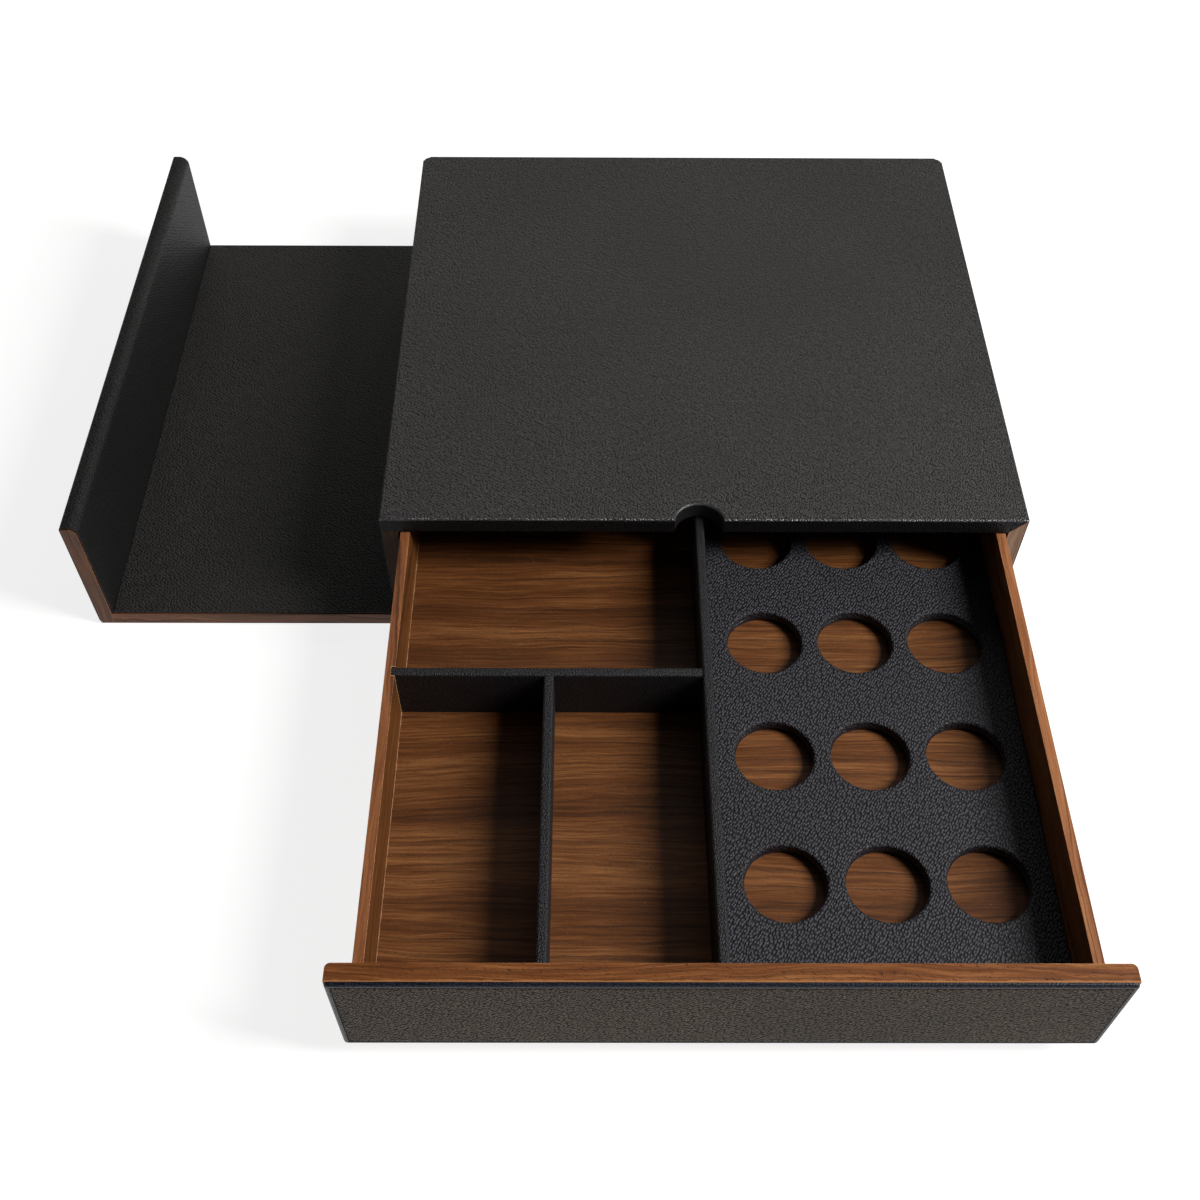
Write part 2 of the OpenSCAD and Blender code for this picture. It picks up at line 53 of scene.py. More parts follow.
class Shader:
    """A material in the making, kept in LOOKS, with short calls that add nodes and join them."""

    def __init__(self, name):
        self.material = bpy.data.materials.new(name)
        self.material.use_nodes = True
        self.tree = self.material.node_tree
        self.tree.nodes.clear()
        self.surface = self.add("ShaderNodeBsdfPrincipled")
        output = self.add("ShaderNodeOutputMaterial")
        self.join(self.surface.outputs[0], output.inputs[0])
        LOOKS[name] = self.material

    def add(self, kind, **settings):
        node = self.tree.nodes.new(kind)
        for key, value in settings.items():
            setattr(node, key, value)
        return node

    def join(self, source, target):
        """Links an output to an input, or sets the input to a plain value."""
        if isinstance(source, bpy.types.NodeSocket):
            self.tree.links.new(source, target)
        else:
            target.default_value = source

    def join_all(self, sources, targets):
        for source, target in zip(sources, targets):
            self.join(source, target)

    def set(self, **values):
        """Sets or links inputs of the surface: base_color=... is its Base Color."""
        for key, value in values.items():
            self.join(value, self.surface.inputs[key.replace("_", " ").title()])

    def set_shine(self, level):
        """The same strength of reflection all over."""
        self.surface.inputs["Specular IOR Level"].default_value = level

    def math(self, kind, *values):
        node = self.add("ShaderNodeMath", operation=kind)
        self.join_all(values, node.inputs)
        return node.outputs[0]

    def combine(self, x, y, z=0.0):
        node = self.add("ShaderNodeCombineXYZ")
        self.join_all((x, y, z), node.inputs)
        return node.outputs[0]

    def split(self, vector):
        node = self.add("ShaderNodeSeparateXYZ")
        self.join(vector, node.inputs[0])
        return node.outputs

    def place(self):
        """The point's place on the object, in metres."""
        return self.add("ShaderNodeTexCoord").outputs["Object"]

    def scaled(self, vector, factor, shift):
        """vector times factor, plus shift."""
        node = self.add("ShaderNodeVectorMath", operation="MULTIPLY_ADD")
        self.join_all((vector, (factor, factor, factor), shift), node.inputs)
        return node.outputs[0]

    def noise(self, at, scale=1.0, detail=2.0, rough=0.5, colour=False):
        node = self.add("ShaderNodeTexNoise")
        self.join(at, node.inputs["Vector"])
        self.join(scale, node.inputs["Scale"])
        self.join(detail, node.inputs["Detail"])
        self.join(rough, node.inputs["Roughness"])
        return node.outputs["Color" if colour else "Fac"]

    def swayed(self, value, noise, reach):
        """value, moved up to half of reach either way by a noise from 0 to 1."""
        return self.math("MULTIPLY_ADD", self.math("SUBTRACT", noise, 0.5), reach, value)

    def band(self, value, low, high, to_low=0.0, to_high=1.0):
        """Turns low..high into to_low..to_high, smoothly at both ends."""
        node = self.add("ShaderNodeMapRange", interpolation_type="SMOOTHSTEP")
        self.join_all((value, low, high, to_low, to_high), node.inputs)
        return node.outputs[0]

    def hump(self, value, rise, crest, brink, end):
        """0 up to rise, 1 from crest to brink, and 0 again from end on."""
        return self.math("MULTIPLY", self.band(value, rise, crest), self.band(value, brink, end, 1.0, 0.0))

    def choose(self, share, low, high):
        """The number low where share is 0, and high where it is 1."""
        node = self.add("ShaderNodeMix", data_type="FLOAT")
        self.join_all((share, low, high), (node.inputs[0], node.inputs[2], node.inputs[3]))
        return node.outputs[0]

    def blend(self, share, low, high, kind="MIX"):
        """The colour low where share is 0, and high where it is 1."""
        node = self.add("ShaderNodeMix", data_type="RGBA", blend_type=kind)
        self.join_all((share, low, high), (node.inputs[0], node.inputs[6], node.inputs[7]))
        return node.outputs[2]

    def ramp(self, value, *stops):
        """stops are pairs of a place from 0 to 1 and a colour."""
        node = self.add("ShaderNodeValToRGB")
        points = node.color_ramp.elements
        while len(points) < len(stops):
            points.new(0.5)
        for point, (place, colour) in zip(points, stops):
            point.position = place
            point.color = colour
        self.join(value, node.inputs[0])
        return node.outputs[0]

    def bump(self, height, depth, under=None):
        """A relief of that depth in metres, on top of another one."""
        node = self.add("ShaderNodeBump")
        self.join(height, node.inputs["Height"])
        self.join(depth, node.inputs["Distance"])
        if under is not None:
            self.join(under, node.inputs["Normal"])
        return node.outputs[0]


def rgb(red, green, blue):
    """A colour from its 0 to 255 screen values, as Blender's linear one."""
    def linear(v):
        v = v / 255
        return v / 12.92 if v <= 0.04045 else ((v + 0.055) / 1.055) ** 2.4
    return (linear(red), linear(green), linear(blue), 1.0)


def grey(level):
    return (level, level, level, 1)


def darker(colour, share):
    return [part * share for part in colour[:3]] + [1]


def face_coordinates(s):
    """The point's place on the flat face it lies on, in metres, whichever way the face looks."""
    coords = s.add("ShaderNodeTexCoord")
    x, y, z = s.split(coords.outputs["Object"])
    nx, ny, nz = [s.math("ABSOLUTE", n) for n in s.split(coords.outputs["Normal"])]
    level = s.math("GREATER_THAN", nz, s.math("MAXIMUM", nx, ny))
    sideways = s.math("GREATER_THAN", nx, ny)
    u = s.choose(level, s.choose(sideways, x, y), x)
    v = s.choose(level, z, y)
    return s.combine(u, v, 0.0)


# ---------------------------------------------------------------- leather

DRIFT_SCALE = 110
DRIFT_REACH = 2.2 * MM
PEBBLE_SMOOTHNESS = 0.22
PEBBLE_DISORDER = 0.62
SKIN_SCALE = 2400


def pebbles(s, flat, grain, stretch, turn):
    """Rounded crowns from 0 in the creases to 1, each longer one way than the other."""
    drift = s.noise(flat, DRIFT_SCALE, 3, colour=True)
    warped = s.scaled(drift, DRIFT_REACH, flat)
    turned = s.add("ShaderNodeMapping", vector_type="TEXTURE")
    s.join(warped, turned.inputs["Vector"])
    turned.inputs["Rotation"].default_value = (0, 0, math.radians(turn))
    turned.inputs["Scale"].default_value = (grain * stretch * MM, grain * MM, 1)
    cells = s.add("ShaderNodeTexVoronoi", voronoi_dimensions="2D", feature="SMOOTH_F1")
    s.join(turned.outputs[0], cells.inputs["Vector"])
    cells.inputs["Scale"].default_value = 1.0
    cells.inputs["Smoothness"].default_value = PEBBLE_SMOOTHNESS
    cells.inputs["Randomness"].default_value = PEBBLE_DISORDER
    dome = s.band(cells.outputs["Distance"], 0.16, 0.7, 1.0, 0.0)
    flatter = s.band(s.noise(flat, 260, 2), 0.3, 0.7, 0.8, 1.0)
    return s.math("MULTIPLY", dome, flatter)


def leather(name, tip, hide, crease, grain, stretch, turn, depth, gloss=(0.7, 0.5), shine=0.4,
            tint=(1, 1, 1, 1), seed=0.0):
    """Pebbled leather. tip, hide and crease are its colours from the pebbles' crowns down: the lighter
    crowns are a painted highlight and the near-black creases a painted shade, over the bump's relief.
    grain is a pebble's width in mm, stretch its length over its width, turn the direction it lies in,
    depth the relief in mm and gloss the roughness in the creases and on the pebbles."""
    s = Shader(name)
    flat = s.scaled(face_coordinates(s), 1.0, (seed, seed * 0.7, seed * 0.3))
    raised = pebbles(s, flat, grain, stretch, turn)
    skin = s.noise(flat, SKIN_SCALE, 2, 0.6)
    mottle = s.band(s.noise(flat, 11, 3), 0.3, 0.7, 0.86, 1.12)
    # painted highlight and painted shade: the colour follows the pebbles' height, light on the crowns and dark
    # in the creases
    colour = s.ramp(s.swayed(raised, skin, 0.3), (0.1, crease), (0.5, hide), (1.0, tip))
    s.set(base_color=s.blend(1.0, colour, s.combine(mottle, mottle, mottle), "MULTIPLY"))
    s.set(roughness=s.choose(raised, gloss[0], gloss[1]))
    waves = s.bump(s.noise(flat, 40, 2), 0.08 * MM)
    height = s.math("MULTIPLY_ADD", skin, 0.1, raised)
    s.set(normal=s.bump(height, depth * MM, waves))
    s.set_shine(shine)
    s.surface.inputs["Specular Tint"].default_value = tint


# ---------------------------------------------------------------- walnut

AXES_ALONG = {"X": "XYZ", "Y": "YXZ", "Z": "ZXY"}
TONE_STOPS = (0.05, 0.5, 0.95)
LINE_TILT = 0.4
PORE_DARKENING = (0.34, 0.29, 0.26, 1)
DUST_COLOUR = (0.7, 0.62, 0.52, 1)


def walnut(name, along, tones, ring=4.2, lines=0.6, pores=0.5, fleck=1.0, slant=0.0, dust=0.0,
           shine=0.22, other=None, wear_and_highlight=None, seed=0.0):
    """Walnut with its grain along one axis. tones are its dark, middle and light colours, ring the
    spacing of the growth lines in mm, lines and pores how strongly they show, fleck the pores' size,
    slant how far they lie off the grain and dust how strongly pale specks show. other is for faces that
    look along an axis and differ: that axis, the grain's axis there, and the tones there, which in this
    script paint light, sheen and shade onto those faces. The last argument is for a lighter band along
    one edge, partly rubbing and partly a painted highlight: an axis, the edge's place on it in metres,
    and how far the band reaches in mm."""
    s = Shader(name)
    dark, _, light = tones
    coords = s.add("ShaderNodeTexCoord")
    place = dict(zip("XYZ", s.split(coords.outputs["Object"])))
    a, b, c = [place[axis] for axis in AXES_ALONG[along]]
    if other:
        faced, other_along, other_tones = other
        normal = dict(zip("XYZ", s.split(coords.outputs["Normal"])))
        there = s.band(s.math("ABSOLUTE", normal[faced]), 0.6, 0.8)
        swapped = [place[axis] for axis in AXES_ALONG[other_along]]
        a, b, c = [s.choose(there, own, new) for own, new in zip((a, b, c), swapped)]
    across = s.math("MULTIPLY_ADD", c, LINE_TILT, b)

    def grain(run, span, detail=2.0, rough=0.5, of=across, layer=0.0):
        """Noise stretched along the grain: run and span are its scales along and across."""
        at = s.combine(s.math("MULTIPLY", a, run), s.math("MULTIPLY", of, span), seed + layer)
        return s.noise(at, 1.0, detail, rough)

    # the lines waver at three sizes, from the board's whole length down to their ragged edges
    wavy = s.swayed(across, grain(4, 9), 24 * MM)
    wavy = s.swayed(wavy, grain(26, 70, layer=3), 4.5 * MM)
    ragged = s.swayed(wavy, grain(130, 500, 3, 0.6, layer=5), 1.3 * MM)
    broad = s.band(grain(1.8, 38, 3, 0.6, wavy, 7), 0.3, 0.7)
    fine = s.band(grain(24, 800, 4, 0.7, wavy, 9), 0.28, 0.72)
    tone = s.math("ADD", s.math("MULTIPLY", broad, 0.5), s.math("MULTIPLY", fine, 0.5))

    # each year's growth darkens slowly and ends in a narrow edge
    wander = s.math("MULTIPLY", grain(2.5, 60, 2, 0.5, wavy, 11), 3.0)
    year = s.math("FRACT", s.math("ADD", wander, s.math("DIVIDE", ragged, ring * MM)))
    shade = s.hump(year, 0.3, 0.9, 0.94, 1.0)
    edge = s.hump(year, 0.66, 0.86, 0.88, 1.0)
    strong = s.band(grain(5.0, 110, 2, 0.5, wavy, 13), 0.38, 0.6, 0.2, 1.0)
    mark = s.math("ADD", s.math("MULTIPLY", shade, 0.3), s.math("MULTIPLY", edge, 0.7))
    line = s.math("MULTIPLY", s.math("MULTIPLY", mark, strong), lines)

    # short dark pores, crowded towards the end of each year
    off_grain = s.math("MULTIPLY_ADD", a, slant, wavy)
    speck = s.band(grain(520 / fleck, 1900 / fleck, 1, 0.5, off_grain, 17), 0.58, 0.7)
    crowd = s.band(year, 0.2, 0.9, 0.45, 1.0)
    pore = s.math("MULTIPLY", s.math("MULTIPLY", speck, crowd), pores)

    colour = s.ramp(tone, *zip(TONE_STOPS, tones))
    if other:
        colour = s.blend(there, colour, s.ramp(tone, *zip(TONE_STOPS, other_tones)))
    deep = s.blend(1.0, dark, PORE_DARKENING, "MULTIPLY")
    colour = s.blend(line, colour, deep)
    colour = s.blend(pore, colour, deep)
    # a lighter band along one edge: rubbing plus a painted highlight
    if wear_and_highlight:
        edge_band_axis, edge_place, edge_band_reach = wear_and_highlight
        off_edge = s.math("ABSOLUTE", s.math("SUBTRACT", place[edge_band_axis], edge_place))
        uneven = s.band(grain(120, 10, 2, 0.6, layer=19), 0.3, 0.7, 0.5, 1.2)
        reach = s.math("MULTIPLY", uneven, edge_band_reach * MM)
        rubbed_and_lit = s.band(s.math("DIVIDE", off_edge, reach), 0.4, 1.0, 0.75, 0.0)
        colour = s.blend(rubbed_and_lit, colour, light)
    if dust:
        mote = s.band(s.noise(s.combine(a, b, c), 1500, 1), 0.765, 0.8, 0.0, dust)
        colour = s.blend(mote, colour, DUST_COLOUR)
    open_grain = s.math("ADD", line, pore)
    s.set(base_color=colour, roughness=s.math("MULTIPLY_ADD", open_grain, 0.22, 0.42))
    relief = s.math("ADD", s.math("MULTIPLY", fine, 0.3), s.math("MULTIPLY", open_grain, -1.0))
    s.set(normal=s.bump(relief, 0.06 * MM))
    s.set_shine(shine)


# ---------------------------------------------------------------- metal, felt and the rest


def metal(name, colour, rough, brush_axis="Y"):
    """Steel with fine marks along one axis."""
    s = Shader(name)
    run = {"X": (30, 1800, 1800), "Y": (1800, 30, 1800), "Z": (1800, 1800, 30)}[brush_axis]
    at = s.combine(*[s.math("MULTIPLY", v, k) for v, k in zip(s.split(s.place()), run)])
    marks = s.noise(at, 1.0, 3, 0.6)
    s.set(base_color=s.blend(marks, darker(colour, 0.82), colour), metallic=1.0)
    s.set(roughness=s.band(marks, 0.2, 0.8, rough - 0.08, rough + 0.12))
    s.set(normal=s.bump(marks, 0.02 * MM))


def felt(name, colour):
    """Short pressed fibres."""
    s = Shader(name)
    fibres = s.noise(s.place(), 1500, 4, 0.75)
    s.set(base_color=s.blend(fibres, darker(colour, 0.5), colour), roughness=0.95)
    s.set(normal=s.bump(fibres, 0.25 * MM))
    s.surface.inputs["Sheen Weight"].default_value = 0.3


def mottled(name, colour, rough, scale=400, depth=0.03, spread=0.25):
    """A plain finish with a fine unevenness in colour, shine and relief, which is depth mm deep."""
    s = Shader(name)
    spots = s.noise(s.place(), scale, 4, 0.6)
    s.set(base_color=s.blend(spots, darker(colour, 1 - spread), colour))
    s.set(roughness=s.band(spots, 0.2, 0.8, rough - 0.06, rough + 0.1))
    s.set(normal=s.bump(spots, depth * MM))


# ---------------------------------------------------------------- the looks


def make_leathers():
    """Each line gives the crown, hide and crease colours, then grain, stretch, turn and depth. Light crowns
    and dark creases paint highlight and shade onto the pebbles.
    """
    leather("case_leather", rgb(64, 62, 60), rgb(18, 17, 16), rgb(4, 4, 4), 1.1, 1.6, 57, 0.34,
            gloss=(0.66, 0.5), shine=0.45)
    leather("case_arris", rgb(50, 52, 60), rgb(18, 18, 21), rgb(5, 5, 6), 1.1, 1.5, 57, 0.26,
            gloss=(0.42, 0.26), shine=0.9, seed=0.9)
    # painted highlight: the notch's rolled rim gets a lighter, blue-grey colour for the broad sheen along it
    leather("notch_rim_painted_highlight", rgb(48, 49, 58), rgb(22, 22, 27), rgb(10, 10, 12), 1.1, 1.5, 57, 0.1,
            gloss=(0.56, 0.42), shine=0.7, seed=1.1)
    # painted shade: a much darker, less shiny copy of the case's leather, for the faces of the lip that look
    # forward
    leather("lip_leather_painted_shade", rgb(26, 25, 26), rgb(11, 11, 11), rgb(4, 4, 4), 1.1, 1.5, 57, 0.26,
            shine=0.14, seed=1.3)
    leather("tray_leather", rgb(37, 34, 32), rgb(11, 10, 9), rgb(3, 3, 3), 1.1, 1.7, 52, 0.32,
            shine=0.45, seed=1.7)
    # painted shade: a darker, less shiny copy of the tray's leather for the upright, whose inner face lies in
    # shade
    leather("upright_leather", rgb(19, 18, 18), rgb(9, 9, 9), rgb(3, 3, 3), 1.1, 1.7, 52, 0.26,
            shine=0.3, seed=2.3)
    leather("plate_leather", rgb(50, 49, 60), rgb(13, 12, 16), rgb(2, 2, 3), 1.3, 1.6, 58, 0.46,
            gloss=(0.7, 0.52), shine=0.45, seed=3.1)
    leather("fold_leather", rgb(31, 31, 37), rgb(8, 8, 10), rgb(2, 2, 3), 0.95, 1.4, 70, 0.22,
            gloss=(0.66, 0.5), seed=3.7)
    # painted shade: the notch's walls get a near-black copy of the case's leather for the shade inside the
    # notch
    leather("notch_leather_painted_shade", rgb(24, 23, 24), rgb(13, 13, 13), rgb(6, 6, 6), 0.7, 1.4, 70, 0.08,
            shine=0.3, seed=3.9)
    # painted reflection: the drawer front's warm grey-brown stands in for the pale table reflected in its
    # leather, with a warm reflection tint to match
    leather("facing_leather", rgb(79, 65, 50), rgb(42, 34, 26), rgb(10, 8, 6), 1.25, 1.5, 62, 0.3,
            shine=0.12, tint=(1.0, 0.88, 0.74, 1), seed=4.3)
    # painted highlight: the front's rolled edge is coloured blue-grey for the bluish glint along it
    leather("rim_leather_painted_highlight", rgb(34, 39, 55), rgb(15, 17, 25), rgb(7, 8, 12), 1.1, 1.3, 80, 0.07,
            gloss=(0.46, 0.34), shine=0.26, seed=5.9)
    # painted shade: the sewn channel is coloured near black for the shade in the groove
    leather("seam_leather_painted_shade", rgb(12, 11, 11), rgb(7, 6, 6), rgb(3, 3, 3), 1.1, 1.3, 62, 0.1,
            shine=0.1, seed=6.1)


BROWN = (rgb(56, 30, 12), rgb(94, 54, 24), rgb(128, 80, 42))
FLOOR = (rgb(60, 33, 14), rgb(98, 58, 29), rgb(140, 94, 55))
ORANGE = (rgb(62, 31, 11), rgb(116, 68, 33), rgb(164, 112, 68))
# arris tones, paler than the boards: edge wear plus a painted highlight along the softened edges
PALE = (rgb(132, 84, 48), rgb(174, 120, 78), rgb(204, 154, 108))
WALL = (rgb(66, 36, 14), rgb(96, 57, 25), rgb(124, 78, 40))
# painted sheen: lighter tones for the upward faces of the drawer sides, standing in for the light's sheen on
# them
SIDE_TOP_PAINTED_SHEEN = (rgb(98, 56, 32), rgb(140, 88, 54), rgb(172, 120, 80))
# paler still, for the drawer sides' arrises: edge wear plus a painted highlight where they catch the light
ARRIS_WEAR_AND_HIGHLIGHT = (rgb(150, 104, 70), rgb(196, 148, 108), rgb(224, 184, 146))
# painted shade and painted light: the case sides' front end faces, dark on the left one and lighter on the
# right one, as the light falls on them
LEFT_END_PAINTED_SHADE = (rgb(22, 12, 6), rgb(38, 22, 11), rgb(54, 33, 18))
RIGHT_END_PAINTED_LIGHT = (rgb(92, 66, 46), rgb(126, 96, 72), rgb(152, 122, 96))
RAW = (rgb(150, 118, 84), rgb(186, 152, 112), rgb(206, 176, 140))
HIDDEN = (rgb(120, 88, 58), rgb(160, 122, 84), rgb(190, 154, 112))
# how far the lighter band along the drawer front's front edge reaches, in mm: wear plus a painted highlight
EDGE_WEAR_AND_HIGHLIGHT_REACH = 1.3


def make_woods():
    """Each board's grain runs along the axis named."""
    front_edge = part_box("drawer_front_board")[0].y
    # the sides' upward faces take the lighter tones, a painted sheen
    walnut("drawer_side", "Y", WALL, pores=0.3, other=("Z", "Y", SIDE_TOP_PAINTED_SHEEN), seed=2.0)
    walnut("side_arris_y", "Y", ARRIS_WEAR_AND_HIGHLIGHT, lines=0.1, seed=2.0)
    # the case sides' front end faces take the shaded and the lit tones
    walnut("case_side_left", "Y", BROWN, lines=0.3, pores=0.2, shine=0.06, other=("Y", "Z", LEFT_END_PAINTED_SHADE), seed=3.0)
    walnut("case_side_right", "Y", BROWN, lines=0.3, pores=0.2, other=("Y", "Z", RIGHT_END_PAINTED_LIGHT), seed=4.0)
    walnut("edge_grain_z", "Z", BROWN, seed=5.0)
    walnut("edge_arris_z", "Z", PALE, lines=0.2, seed=5.0)
    walnut("board_grain_x", "X", BROWN, seed=8.0)
    walnut("board_arris_x", "X", PALE, lines=0.2, seed=8.0)
    # the front board's top pales towards its front edge: wear plus a painted highlight
    walnut("front_top", "X", ORANGE, ring=7, lines=0.25, pores=0.8, fleck=1.35, slant=0.4,
           wear_and_highlight=("Y", front_edge, EDGE_WEAR_AND_HIGHLIGHT_REACH), seed=11.0)
    walnut("front_arris", "X", PALE, lines=0.1, pores=0.3, seed=11.0)
    walnut("floor_grain", "X", FLOOR, ring=5.6, lines=0.45, dust=0.25, seed=14.0)
    walnut("hidden_wood", "X", HIDDEN, seed=17.0)
    walnut("raw_wood", "Z", RAW, seed=20.0)


def make_other_looks():
    felt("felt", rgb(38, 37, 36))
    mottled("slip_plastic", rgb(206, 202, 190), 0.35)
    metal("runner_steel", rgb(176, 178, 181), 0.32)
    metal("screw_steel", rgb(150, 150, 152), 0.3, "Z")
    metal("ball_steel", rgb(214, 215, 217), 0.12)
    mottled("cage_plastic", rgb(196, 188, 160), 0.4)
    mottled("edge_paint", rgb(24, 25, 31), 0.2, scale=1400, depth=0.14, spread=0.85)
    mottled("thread", rgb(6, 6, 6), 0.9, scale=3000, depth=0.1)
    mottled("glue", rgb(168, 124, 86), 0.5, scale=260, depth=0.1, spread=0.75)


# ---------------------------------------------------------------- mesh building


def add_piece(name, mesh, body, slot, looks, *nodes, sharp=40):
    """Shows a mesh as a piece that rides on a body and stands for the nodes named."""
    obj = bpy.data.objects.new(name, mesh)
    bpy.context.scene.collection.objects.link(obj)
    mesh.shade_smooth()
    mesh.set_sharp_from_angle(angle=math.radians(sharp))
    for look in looks:
        mesh.materials.append(LOOKS[look])
    obj.modifiers.new("even_shading", "WEIGHTED_NORMAL").keep_sharp = True
    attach(obj, body)
    if nodes:
        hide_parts(*nodes)
    return obj


def to_mesh(bm):
    bmesh.ops.recalc_face_normals(bm, faces=bm.faces)
    mesh = bpy.data.meshes.new("work")
    bm.to_mesh(mesh)
    bm.free()
    return mesh


def ring_of(bm, points):
    return [bm.verts.new(p) for p in points]


def skin_rows(bm, rows, look=0):
    """Faces between closed rows of the same number of points."""
    for near, far in zip(rows, rows[1:]):
        count = len(near)
        for i in range(count):
            j = (i + 1) % count
            bm.faces.new((near[i], near[j], far[j], far[i])).material_index = look


def close_ends(bm, rows):
    bm.faces.new(rows[0])
    bm.faces.new(rows[-1])


def prism(points, low, high, axis="Z"):
    """A closed solid: an outline drawn out along an axis, as a mesh in the making."""
    turn = {"Z": lambda u, v, w: (u, v, w), "Y": lambda u, v, w: (u, w, v)}[axis]
    bm = bmesh.new()
    rows = [ring_of(bm, [turn(u, v, w) for u, v in points]) for w in (low, high)]
    close_ends(bm, rows)
    skin_rows(bm, rows)
    return bm


def arc(centre, r, start, end, steps):
    """Points on an arc, with its angles in degrees."""
    turns = [math.radians(start + (end - start) * i / steps) for i in range(steps + 1)]
    return [(centre[0] + r * math.cos(t), centre[1] + r * math.sin(t)) for t in turns]


def circle(centre, r, steps):
    return arc(centre, r, 0, 360, steps)[:-1]


def round_rect(low, high, r, steps=6):
    """A rectangle with round corners, with the same number of points at any radius."""
    (x0, y0), (x1, y1) = low, high
    corners = [((x1 - r, y0 + r), -90), ((x1 - r, y1 - r), 0),
               ((x0 + r, y1 - r), 90), ((x0 + r, y0 + r), 180)]
    return [p for centre, start in corners for p in arc(centre, r, start, start + 90, steps)]


def inset_rect(low, high, r, inset):
    """The outline of a box seen from above, drawn in by inset."""
    return round_rect((low.x + inset, low.y + inset), (high.x - inset, high.y - inset), r - inset)


def cut_away(mesh, cutter):
    """mesh with cutter taken away, as a new mesh."""
    objs = [bpy.data.objects.new("work", m) for m in (mesh, cutter)]
    for obj in objs:
        bpy.context.scene.collection.objects.link(obj)
    step = objs[0].modifiers.new("cut", "BOOLEAN")
    step.operation = "DIFFERENCE"
    step.solver = "EXACT"
    step.object = objs[1]
    graph = bpy.context.evaluated_depsgraph_get()
    result = bpy.data.meshes.new_from_object(objs[0].evaluated_get(graph))
    for obj in objs:
        bpy.data.objects.remove(obj)
    return result


# ---------------------------------------------------------------- finishes of the CAD nodes that stay

WELD_WIDTH = 0.005 * MM
FLAT_ANGLE = math.radians(0.5)
ARRIS_ANGLE = math.radians(40)


def dress(name, *looks):
    """Gives a CAD node that stays its own finish."""
    slots = NODES[name].data.materials
    slots.clear()
    for look in looks:
        slots.append(LOOKS[look])


def eased_node(name, look, arris=None, width=0.4, segments=3):
    """A CAD node that stays, with its own finish and arrises softened by width mm."""
    dress(name, look, arris or look)
    obj = NODES[name]
    obj.modifiers.new("weld", "WELD").merge_threshold = WELD_WIDTH
    flatten = obj.modifiers.new("flatten", "DECIMATE")
    flatten.decimate_type = "DISSOLVE"
    flatten.angle_limit = FLAT_ANGLE
    soften = obj.modifiers.new("soften", "BEVEL")
    soften.width = width * MM
    soften.segments = segments
    soften.limit_method = "ANGLE"
    soften.angle_limit = ARRIS_ANGLE
    soften.material = 1 if arris else -1
    obj.modifiers.new("even_shading", "WEIGHTED_NORMAL").keep_sharp = False


def finish_nodes():
    for name in ("drawer_left_side", "drawer_right_side"):
        eased_node(name, "drawer_side", "side_arris_y", 0.35)
    eased_node("case_left_side", "case_side_left", width=0.3)
    eased_node("case_right_side", "case_side_right", "edge_arris_z", 0.3)
    for name in ("case_top_panel", "case_back_panel", "drawer_back"):
        eased_node(name, "board_grain_x", width=0.3)
    eased_node("drawer_front_board", "front_top", "front_arris", 0.4)
    eased_node("drawer_floor", "floor_grain", width=0.1, segments=1)
    eased_node("tray_floor_board", "board_grain_x", "board_arris_x", 0.3)
    eased_node("tray_upright_board", "edge_grain_z", "edge_arris_z", 0.3)
    # the upright's leather takes the darker copy, a painted shade
    eased_node("tray_upright_leather", "upright_leather", width=0.25)
    for name in ("tray_front_rail", "tray_back_rail", "tray_middle_board", "tray_end_rail"):
        eased_node(name, "board_grain_x", "board_arris_x", 0.25)
    for name in ("case_bottom_panel", "pod_plate_board", "long_divider_core", "cross_divider_core",
                 "short_divider_core"):
        eased_node(name, "hidden_wood", width=0.2, segments=2)
    for name in ("case_foot_strip", "drawer_stop_pads", "tray_base_felt"):
        eased_node(name, "felt", width=0.15, segments=2)
    eased_node("glide_strips", "slip_plastic", width=0.15, segments=2)
    for name in ("runner_left_case_member", "runner_right_case_member",
                 "runner_left_drawer_member", "runner_right_drawer_member"):
        eased_node(name, "runner_steel", width=0.2, segments=2)
    for name in ("tray_guide_pins", "runner_case_screws", "runner_drawer_screws", "drawer_front_screws",
                 "tray_joint_screws"):
        dress(name, "screw_steel")
    for name in ("runner_left_balls", "runner_right_balls"):
        dress(name, "ball_steel")
    for name in ("runner_left_cage", "runner_right_cage"):
        dress(name, "cage_plastic")


# ---------------------------------------------------------------- case

SKIN = 1.0 * MM
CORNER_R = 4.5 * MM
ARRIS_R = 1.3 * MM
NOTCH_X = -2.6 * MM
NOTCH_R = 13.2 * MM
NOTCH_SET = 1.8 * MM
PAST = 5 * MM
FAR_PAST = 20 * MM
TINY = 1e-6
WRAP_LOOKS = ["case_leather", "notch_leather_painted_shade", "case_arris", "lip_leather_painted_shade", "notch_rim_painted_highlight"]


